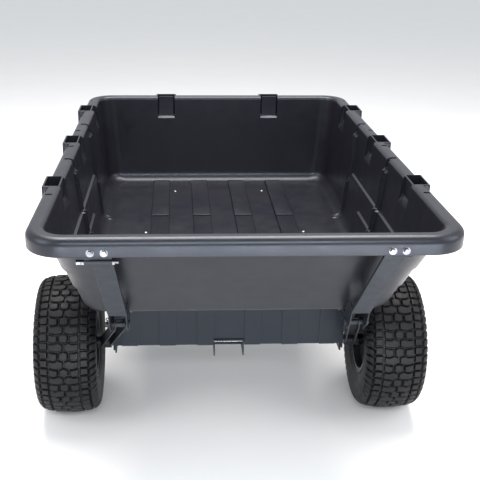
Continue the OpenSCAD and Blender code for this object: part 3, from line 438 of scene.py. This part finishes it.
def tub_cuts():
    """Everything cut out of the tub, in three groups whose solids stay clear of each other."""
    pockets, recesses, grooves = [], [], []
    for y in POCKETS:
        x, mid = pocket_x(y), AXLE_Y + y
        near, far = mid - POCKET_L / 2, mid + POCKET_L / 2
        pockets.append(box_solid((x, near, POCKET_FLOOR), (x + POCKET_W, far, ABOVE), POCKET_EDGE))
        recesses.append(drain_solid((x + POCKET_W / 2, mid)))
        recesses.append(recess("y", x - STRIP, near + RECESS_END, POCKET_L - 2 * RECESS_END,
                               *SIDE_RECESS))
    half, y = FRONT_POCKET_L / 2, FRONT_POCKET_Y
    pockets.append(box_solid((FRONT_POCKET_X - half, y, POCKET_FLOOR),
                             (FRONT_POCKET_X + half, y + POCKET_W, ABOVE), POCKET_EDGE))
    recesses.append(drain_solid((FRONT_POCKET_X, y + POCKET_W / 2)))
    recesses.append(recess("x", y - STRIP, FRONT_POCKET_X - half, 2 * half, *FRONT_RECESS))
    for x in (FRONT_POCKET_X - half, FRONT_POCKET_X + half - GROOVE_W):
        grooves.append(box_solid((x, y - STRIP - GROOVE_PAST, POCKET_FLOOR + GROOVE_PAST),
                                 (x + GROOVE_W, y + GROOVE_PAST, ABOVE)))
    for x, y in SLOTS:
        pockets.append(slot_solid((x, AXLE_Y + y)))
    for y in DIVIDERS:
        x, mid = side_x(RIM_Z, y), AXLE_Y + y
        recesses.append(box_solid((x - SLIT_IN, mid - SLIT_HALF, RIM_Z - SLIT_D),
                                  (x + SLIT_OUT, mid + SLIT_HALF, ABOVE), RECESS_EDGE))
    for group in (pockets, recesses, grooves):
        group += [mirrored(s) for s in group]
    # The ribs are already on both sides, so what lies under them isn't mirrored
    pockets += rib_bars(-WALL, -WALL, BELOW, UNDER_Z + HOLLOW_D, HOLLOW_EDGE)
    inset = RIB_W / 2 - WALL
    for x in RIB_X:
        pockets.append(box_solid((x - inset, FLOOR_REAR - NOTCH_REAR, BELOW),
                                 (x + inset, RIB_REAR + WALL - 0.001, UNDER_Z + NOTCH_D),
                                 NOTCH_EDGE))
    return pockets, recesses, grooves


def rib_bars(grow, front, low, high, bevel):
    """Boxes over the floor ribs, grown at the sides and rear, and by front at the front.

    Each rib breaks in line with the front dividers.
    """
    middle = AXLE_Y + DIVIDERS[1]
    solids = []
    for x in RIB_X:
        for y0, y1 in ((RIB_REAR, middle - RIB_GAP), (middle + RIB_GAP, RIB_FRONT)):
            solids.append(box_solid((x - RIB_W / 2 - grow, y0 - grow, low),
                                    (x + RIB_W / 2 + grow, y1 + front, high), bevel))
    return solids


def make_tub():
    tub = tub_skin()
    boolean(tub, pocket_shells(), "UNION")
    grooves = rib_bars(RIB_GROOVE_SIDE, RIB_GROOVE_FRONT, FLOOR_Z - RIB_GROOVE_D,
                       FLOOR_Z + 0.005, 0)
    boolean(tub, joined(grooves), "DIFFERENCE")
    ribs = rib_bars(0, 0, FLOOR_Z - RIB_ROOT, FLOOR_Z + RIB_H, RIB_EDGE)
    boolean(tub, joined(ribs), "UNION")
    for group in tub_cuts():
        boolean(tub, joined(group), "DIFFERENCE")
    tub.name = "tub"
    shade(tub, TUB_SHARP)
    return tub


# ---------- Tyres ----------
TYRE_LOW, TYRE_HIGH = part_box("right_tyre")
TYRE_R = (TYRE_HIGH.z - TYRE_LOW.z) / 2
TYRE_HALF = (TYRE_HIGH.x - TYRE_LOW.x) / 2
TREAD_D = 0.009
PERIODS = 26
PITCH = 2 * math.pi * TYRE_R / PERIODS
AROUND = 720
CURVE_STEPS, SECTION_STEP = 40, 0.0022
TYRE_SHARP = 50

# Two kinds of row in turn, each as the blocks' centres across the tread, their width, how far the
# row's feet bulge along the tread, and where its columns part
WIDE_ROW = ((-0.0245, 0.0245), 0.049, 0.11, (0, 0.0495))
SMALL_ROW = ((-0.033, 0, 0.033), 0.033, 0.10, (0.0165, 0.0495))
ROW_START = -0.03
BLOCK_GAP, BLOCK_EDGE = 0.0023, 0.0022
SHOULDER, SHOULDER_GAP, SHOULDER_EDGE = 0.0775, 0.0014, 0.0018
LUG_LEAN, LUG_PLACE, LUG_W, LUG_GAP = 0.35, 0.079, 0.022, 0.0026
TREAD_END, TREAD_FADE = 0.040, 0.014

# Raised lines round the side wall, as depths below the crown
SIDE_LINES = (0.066, 0.100)
LINE_H, LINE_HALF, LINE_EDGE = 0.0010, 0.003, 0.002


def tyre_curve():
    """Half of the section from the crown to above the bead, as [across, radius], evenly spaced."""
    w, r = TYRE_HALF, TYRE_R
    knots = np.array([[-0.026, r - 0.0004], [0, r - 0.0001], [w - 0.076, r - 0.0006],
                      [w - 0.050, r - 0.0028], [w - 0.026, r - 0.008], [w - 0.014, r - 0.0145],
                      [w - 0.006, r - 0.024], [w - 0.0015, r - 0.038], [w - 0.0004, r - 0.058],
                      [w - 0.003, r - 0.080], [w - 0.009, r - 0.105], [w - 0.016, r - 0.112]])
    points = []
    for a, b, c, d in zip(knots[:-3], knots[1:-2], knots[2:-1], knots[3:]):
        for t in np.linspace(0, 1, CURVE_STEPS, endpoint=False):
            points.append(0.5 * (2 * b + (c - a) * t + (2 * a - 5 * b + 4 * c - d) * t ** 2
                                 + (3 * b - a - 3 * c + d) * t ** 3))
    points.append(knots[-2])
    points = np.array(points)
    length = np.concatenate([[0], np.cumsum(np.linalg.norm(np.diff(points, axis=0), axis=1))])
    even = np.linspace(0, length[-1], int(length[-1] / SECTION_STEP))
    return np.stack([np.interp(even, length, points[:, k]) for k in (0, 1)], 1)


def bulge(across, centres, width):
    """1 at the middle of each block of a row and 0 at its sides."""
    off = np.min([np.abs(across - c) for c in centres], 0)
    return np.clip(1 - (2 * off / width) ** 2, 0, 1)


def nearest(across, gaps):
    """The distance to the nearest of the gaps, which lie alike on both sides of the middle."""
    return np.min([np.abs(np.abs(across) - g) for g in gaps], 0)


def tread_height(across, turn):
    """1 on a block and 0 in a groove: rows of blocks with curved feet, and lugs at the shoulders."""
    v = (turn * PERIODS / (2 * math.pi)) % 1
    centres, width, curve, wide_columns = WIDE_ROW
    foot_wide = 0.5 + curve * bulge(across, centres, width) + ROW_START
    centres, width, curve, small_columns = SMALL_ROW
    foot_small = curve * bulge(across, centres, width) + ROW_START
    row_gap = np.minimum(np.abs(v - foot_wide),
                         np.minimum(np.abs(v - foot_small), np.abs(v - 1 - foot_small)))
    wide = (v > foot_small) & (v < foot_wide)
    column_gap = np.where(wide, nearest(across, wide_columns), nearest(across, small_columns))
    blocks = smooth((np.minimum(row_gap * PITCH, column_gap) - BLOCK_GAP) / BLOCK_EDGE)
    edge = np.abs(across)
    lug = np.abs((2 * v + LUG_LEAN * (edge - LUG_PLACE) / LUG_W + 0.25) % 1 - 0.5) * PITCH / 2
    lugs = smooth((lug - LUG_GAP) / LUG_GAP)
    ditch = smooth((np.abs(edge - SHOULDER) - SHOULDER_GAP) / SHOULDER_EDGE)
    return np.where(edge > SHOULDER, lugs, blocks) * ditch


def make_tyre(name, centre_x, side):
    """A hollow tyre round the axle: treaded outside, plain inside, open between its beads."""
    half = tyre_curve()
    profile = np.concatenate([(half * [-1, 1])[:0:-1], half])
    tangent = np.gradient(profile, axis=0)
    tangent /= np.linalg.norm(tangent, axis=1)[:, None]
    normal = np.stack([-tangent[:, 1], tangent[:, 0]], 1)
    turn = np.arange(AROUND) * 2 * math.pi / AROUND
    across, angle = np.meshgrid(profile[:, 0], turn, indexing="ij")
    radius = profile[:, 1][:, None]
    tread = smooth((radius - TYRE_R + TREAD_END) / TREAD_FADE)
    sunk = TREAD_D * (1 - tread_height(across, angle)) * tread
    for line in SIDE_LINES:
        beside = smooth((LINE_HALF - np.abs(radius - TYRE_R + line)) / LINE_EDGE)
        sunk = sunk + LINE_H * (1 - tread) * (1 - beside)
    points = profile[:, None, :] - normal[:, None, :] * sunk[:, :, None]
    w = TYRE_HALF
    inner = np.array([[w - 0.020, 0.116], [w - 0.020, 0.1022], [w - 0.037, 0.1019],
                      [w - 0.031, 0.128], [w - 0.016, 0.145], [w - 0.012, 0.165],
                      [w - 0.014, 0.185], [w - 0.026, 0.200], [w - 0.050, 0.210],
                      [0.020, 0.212]])
    bore = np.concatenate([inner, (inner * [-1, 1])[::-1]])
    points = np.concatenate([points, np.repeat(bore[:, None, :], AROUND, 1)])
    rows = np.stack([centre_x + side * points[..., 0],
                     AXLE_Y + points[..., 1] * np.cos(turn),
                     AXLE.z + points[..., 1] * np.sin(turn)], -1)
    mesh = grid_mesh(name, rows, closed_rows=True)
    tyre = new_object(name, mesh)
    bm = bmesh.new()
    bm.from_mesh(mesh)
    bmesh.ops.recalc_face_normals(bm, faces=bm.faces)
    bm.to_mesh(mesh)
    bm.free()
    shade(tyre, TYRE_SHARP)
    return tyre


# ---------- Materials ----------
class Nodes:
    """A material and short ways to add and link its nodes."""

    def __init__(self, name, colour, roughness, metallic=0.0, **sockets):
        self.material = bpy.data.materials.new(name)
        self.material.use_nodes = True
        self.tree = self.material.node_tree
        self.shader = self.tree.nodes["Principled BSDF"]
        self.shader.inputs["Base Color"].default_value = (*colour, 1)
        self.shader.inputs["Roughness"].default_value = roughness
        self.shader.inputs["Metallic"].default_value = metallic
        for socket, value in sockets.items():
            self.shader.inputs[socket.replace("_", " ")].default_value = value
        self.coords = self.tree.nodes.new("ShaderNodeTexCoord").outputs["Object"]

    def noise(self, scale, detail, stretch=(1, 1, 1)):
        mapping = self.tree.nodes.new("ShaderNodeMapping")
        mapping.inputs["Scale"].default_value = stretch
        self.tree.links.new(self.coords, mapping.inputs["Vector"])
        node = self.tree.nodes.new("ShaderNodeTexNoise")
        node.inputs["Scale"].default_value = scale
        node.inputs["Detail"].default_value = detail
        self.tree.links.new(mapping.outputs["Vector"], node.inputs["Vector"])
        return node.outputs["Fac"]

    def ramp(self, value, low, high, stops):
        """Two colours, blended where value lies between low and high."""
        node = self.tree.nodes.new("ShaderNodeValToRGB")
        node.color_ramp.elements[0].position = low
        node.color_ramp.elements[1].position = high
        node.color_ramp.elements[0].color = (*stops[0], 1)
        node.color_ramp.elements[1].color = (*stops[1], 1)
        self.tree.links.new(value, node.inputs["Fac"])
        return node.outputs["Color"]

    def span(self, value, low, high, to_low, to_high):
        """The range low to high of value, stretched to another range."""
        node = self.tree.nodes.new("ShaderNodeMapRange")
        for socket, number in (("From Min", low), ("From Max", high),
                               ("To Min", to_low), ("To Max", to_high)):
            node.inputs[socket].default_value = number
        self.tree.links.new(value, node.inputs["Value"])
        return node.outputs["Result"]

    def mix(self, factor, a, b):
        """Colour a where factor is 0 and b where it is 1; each is a tuple or a socket."""
        node = self.tree.nodes.new("ShaderNodeMix")
        node.data_type = "RGBA"
        self.tree.links.new(factor, node.inputs["Factor"])
        for socket, colour in (("A", a), ("B", b)):
            target = [s for s in node.inputs if s.name == socket and s.type == "RGBA"][0]
            if isinstance(colour, tuple):
                target.default_value = (*colour, 1)
            else:
                self.tree.links.new(colour, target)
        return [s for s in node.outputs if s.type == "RGBA"][0]

    def rounded(self, radius):
        """The surface normal with edges rounded by this radius."""
        node = self.tree.nodes.new("ShaderNodeBevel")
        node.samples = 6
        node.inputs["Radius"].default_value = radius
        return node.outputs["Normal"]

    def edges(self):
        """1 along an edge and 0 on a flat face: how far a rounded normal leans from the true one."""
        geometry = self.tree.nodes.new("ShaderNodeNewGeometry")
        dot = self.tree.nodes.new("ShaderNodeVectorMath")
        dot.operation = "DOT_PRODUCT"
        self.tree.links.new(self.rounded(0.0015), dot.inputs[0])
        self.tree.links.new(geometry.outputs["Normal"], dot.inputs[1])
        return self.span(dot.outputs["Value"], 0.99, 0.86, 0, 1)

    def colour(self, value):
        self.tree.links.new(value, self.shader.inputs["Base Color"])

    def roughness(self, value):
        self.tree.links.new(value, self.shader.inputs["Roughness"])

    def bump(self, *layers, rounding=0):
        """Bumps in series, each (height, strength, distance), over edges rounded by a radius."""
        last = self.rounded(rounding) if rounding else None
        for height, strength, distance in layers:
            node = self.tree.nodes.new("ShaderNodeBump")
            node.inputs["Strength"].default_value = strength
            node.inputs["Distance"].default_value = distance
            self.tree.links.new(height, node.inputs["Height"])
            if last:
                self.tree.links.new(last, node.inputs["Normal"])
            last = node.outputs["Normal"]
        self.tree.links.new(last, self.shader.inputs["Normal"])


def tub_material():
    """Moulded black polyethylene: fine pebble grain, flow marks and light scuffs."""
    m = Nodes("moulded_poly", (0.012, 0.012, 0.015), 0.34,
              Specular_Tint=(0.80, 0.88, 1.0, 1))
    flow = m.noise(5, 3, (1, 1, 0.4))
    m.colour(m.ramp(flow, 0.3, 0.7, ((0.0065, 0.0068, 0.0105), (0.0110, 0.0100, 0.0135))))
    m.roughness(m.span(m.noise(22, 5), 0.3, 0.7, 0.28, 0.38))
    m.bump((m.noise(900, 2), 0.22, 0.0004), (m.noise(9, 3), 0.10, 0.002))
    return m.material


def rubber_material(name, shade_low, shade_high, rough):
    """Dull rubber with a fine grain and a coarser unevenness."""
    m = Nodes(name, shade_low, rough, Specular_IOR_Level=0.28)
    m.colour(m.ramp(m.noise(30, 6), 0.35, 0.7, (shade_low, shade_high)))
    m.roughness(m.span(m.noise(60, 4), 0.3, 0.7, rough - 0.08, rough + 0.08))
    m.bump((m.noise(700, 3), 0.25, 0.0004), (m.noise(120, 3), 0.12, 0.0006))
    return m.material


def paint_material(name, low, high, rough, worn):
    """Powder coat: orange peel, slight shade changes, and a paler line along worn edges."""
    m = Nodes(name, low, rough, Specular_IOR_Level=0.4, Specular_Tint=(0.82, 0.90, 1.0, 1))
    base = m.ramp(m.noise(8, 4), 0.3, 0.7, (low, high))
    m.colour(m.mix(m.edges(), base, worn))
    m.roughness(m.span(m.noise(40, 4), 0.3, 0.7, rough - 0.06, rough + 0.08))
    m.bump((m.noise(450, 2), 0.12, 0.0003), rounding=0.0012)
    return m.material


def zinc_material(name, low, high, rough):
    """Bright zinc plate: cloudy patches, fine turning marks."""
    m = Nodes(name, low, rough, 1.0)
    m.colour(m.ramp(m.noise(60, 5), 0.3, 0.7, (low, high)))
    m.roughness(m.span(m.noise(90, 4), 0.3, 0.7, rough - 0.08, rough + 0.10))
    m.bump((m.noise(500, 2, (8, 1, 1)), 0.10, 0.0002), rounding=0.0006)
    return m.material


def plastic_material():
    m = Nodes("cap_plastic", (0.02, 0.02, 0.022), 0.38)
    m.colour(m.ramp(m.noise(25, 3), 0.3, 0.7, ((0.016, 0.016, 0.018), (0.026, 0.026, 0.028))))
    m.bump((m.noise(800, 2), 0.15, 0.0003), rounding=0.001)
    return m.material


def stage_material(name, colour):
    m = Nodes(name, colour, 0.9)
    m.colour(m.ramp(m.noise(3, 2), 0.3, 0.7, (colour, tuple(c * 0.985 for c in colour))))
    return m.material


MATERIALS = {
    "tub_plastic": tub_material(),
    "tyre": rubber_material("tyre_rubber", (0.004, 0.0042, 0.0055), (0.008, 0.008, 0.0095),
                            0.50),
    "rubber": rubber_material("soft_rubber", (0.014, 0.014, 0.015), (0.024, 0.024, 0.025), 0.7),
    "cap_plastic": plastic_material(),
    "rim_steel": paint_material("rim_paint", (0.010, 0.010, 0.011), (0.016, 0.016, 0.017), 0.30,
                                (0.05, 0.05, 0.05)),
    "bearing_steel": zinc_material("bearing_steel", (0.42, 0.42, 0.43), (0.56, 0.56, 0.57), 0.28),
    "grey_steel": paint_material("grey_powder", (0.010, 0.013, 0.018), (0.013, 0.016, 0.022),
                                 0.46, (0.05, 0.055, 0.064)),
    "zinc": zinc_material("zinc_plate", (0.09, 0.095, 0.105), (0.20, 0.20, 0.215), 0.24),
    "black_steel": paint_material("black_powder", (0.012, 0.013, 0.016), (0.018, 0.019, 0.022),
                                  0.42, (0.05, 0.05, 0.056)),
}


def set_material(obj, slot):
    obj.data.materials.clear()
    obj.data.materials.append(MATERIALS[slot])


def finish_nodes():
    """The record's finish on every CAD node."""
    for part in frame["record"]["subparts"]:
        set_material(frame["nodes"][part["node"]], part["material_slot"])


# ---------- Stage, light and camera ----------
FLOOR_SIZE = 300
LIGHT_TARGET = (0, -0.3, 0.5)
CAMERA_X, CAMERA_BEHIND_AXLE, CAMERA_Z = -0.1777, 2.643, 1.6298
CAMERA_DOWN, CAMERA_RIGHT, CAMERA_ROLL = (math.radians(a) for a in (21.31, 2.71, 0.59))
CAMERA_SENSOR, CAMERA_LENS, CAMERA_SHIFT = 36, 65.52, 0.0541


def make_stage():
    bpy.ops.mesh.primitive_plane_add(size=FLOOR_SIZE, location=(0, 0, 0))
    floor = bpy.context.object
    floor.name = "floor"
    floor.data.materials.append(stage_material("floor_pale", (0.90, 0.90, 0.90)))


def area_light(name, place, target, size, watts, colour=(1, 1, 1)):
    light = bpy.data.lights.new(name, "AREA")
    light.shape = "RECTANGLE"
    light.size, light.size_y = size
    light.energy = watts
    light.color = colour
    obj = new_object(name, light)
    obj.location = place
    obj.rotation_euler = (Vector(target) - Vector(place)).to_track_quat("-Z", "Y").to_euler()


def make_light():
    world = bpy.data.worlds.new("studio")
    world.use_nodes = True
    background = world.node_tree.nodes["Background"]
    background.inputs["Color"].default_value = (0.94, 0.97, 1, 1)
    background.inputs["Strength"].default_value = 0.76
    bpy.context.scene.world = world
    area_light("top", (0, 0.4, 3.8), LIGHT_TARGET, (3.0, 2.4), 275, (1, 0.93, 0.90))
    area_light("left", (-3.4, -2.2, 2.4), LIGHT_TARGET, (2.2, 2.6), 60)
    area_light("right", (3.4, -1.6, 2.4), LIGHT_TARGET, (2.2, 2.6), 50)
    area_light("front_low", (0.2, -2.6, 0.30), (0, -1.0, 0.84), (2.8, 0.30), 30,
               (0.93, 0.96, 1))
    area_light("front_high", (0, -2.8, 1.9), (0, 0.5, 0.7), (1.6, 0.5), 30, (0.95, 0.97, 1))
    bpy.context.scene.view_settings.view_transform = "Standard"


def make_camera():
    """The photograph's viewpoint: a little to the left, looking down and forward along the cart."""
    forward = Vector((math.sin(CAMERA_RIGHT) * math.cos(CAMERA_DOWN),
                      math.cos(CAMERA_RIGHT) * math.cos(CAMERA_DOWN), -math.sin(CAMERA_DOWN)))
    level = forward.cross(Vector((0, 0, 1))).normalized()
    above = level.cross(forward)
    right = level * math.cos(CAMERA_ROLL) + above * math.sin(CAMERA_ROLL)
    up = above * math.cos(CAMERA_ROLL) - level * math.sin(CAMERA_ROLL)
    camera = bpy.data.cameras.new("camera")
    camera.sensor_width = CAMERA_SENSOR
    camera.lens = CAMERA_LENS
    camera.shift_x = CAMERA_SHIFT
    obj = new_object("camera", camera)
    turn = Matrix((right, up, -forward)).transposed()
    place = (CAMERA_X, AXLE_Y - CAMERA_BEHIND_AXLE, CAMERA_Z)
    obj.matrix_world = Matrix.Translation(place) @ turn.to_4x4()
    bpy.context.scene.camera = obj


make_stage()
make_light()
make_camera()
finish_nodes()

tub_piece = make_tub()
set_material(tub_piece, "tub_plastic")
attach(tub_piece, "tub")
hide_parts("tub_shell")

for side_name, side_sign in (("left", -1), ("right", 1)):
    wheel = JOINTS[side_name + "_wheel_spin"]
    tyre_piece = make_tyre(side_name + "_turf_tyre", wheel["pos_m"][0], side_sign)
    set_material(tyre_piece, "tyre")
    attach(tyre_piece, side_name + "_wheel")
    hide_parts(side_name + "_tyre")
